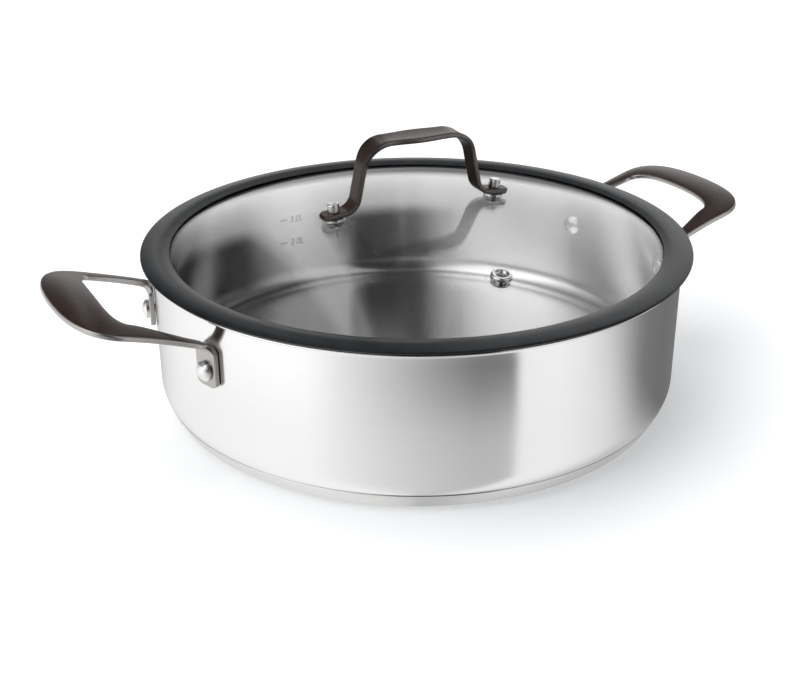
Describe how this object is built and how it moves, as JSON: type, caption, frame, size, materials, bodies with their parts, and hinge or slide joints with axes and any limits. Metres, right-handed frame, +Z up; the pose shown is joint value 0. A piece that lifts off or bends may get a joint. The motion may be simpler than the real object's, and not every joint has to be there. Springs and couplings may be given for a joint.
{
  "type": "shallow casserole pan with lid",
  "caption": "Shallow casserole pan with a layered disc base, riveted strap side handles and a domed glass lid with silicone rim, strap handle and steam vent.",
  "frame": {"origin": "centre of the base's underside, where the pan stands", "axes": "+Z up; the side handles lie along X; the steam vent is towards -Y"},
  "size_m": [0.4018, 0.297, 0.1446],
  "materials": {
    "brushed_steel": "brushed round the wall, satin",
    "polished_steel": "polished",
    "bronze_coated_steel": "satin bronze-brown coating",
    "core_aluminium": "plain, sealed in",
    "clear_glass": "clear, polished",
    "black_silicone": "satin",
    "clear_silicone": "milky, satin"
  },
  "bodies": {
    "pan": {"pan_body": "brushed_steel", "base_core": "core_aluminium", "base_cap": "brushed_steel", "left_handle": "bronze_coated_steel", "right_handle": "bronze_coated_steel", "left_front_rivet": "polished_steel", "left_back_rivet": "polished_steel", "right_front_rivet": "polished_steel", "right_back_rivet": "polished_steel"},
    "lid": {"lid_glass": "clear_glass", "lid_rim": "black_silicone", "lid_handle": "bronze_coated_steel", "lid_nut_left": "polished_steel", "lid_nut_right": "polished_steel", "lid_washer_left": "polished_steel", "lid_washer_right": "polished_steel", "lid_gasket_left": "clear_silicone", "lid_gasket_right": "clear_silicone", "lid_lower_gasket_left": "clear_silicone", "lid_lower_gasket_right": "clear_silicone", "lid_screw_left": "polished_steel", "lid_screw_right": "polished_steel", "vent_eyelet": "polished_steel", "vent_collar": "polished_steel"}
  },
  "joints": [
    {"name": "lid_lift", "type": "slide", "parent": "pan", "child": "lid", "axis": [0, 0, 1], "range_m": [0, 0.15]}
  ]
}
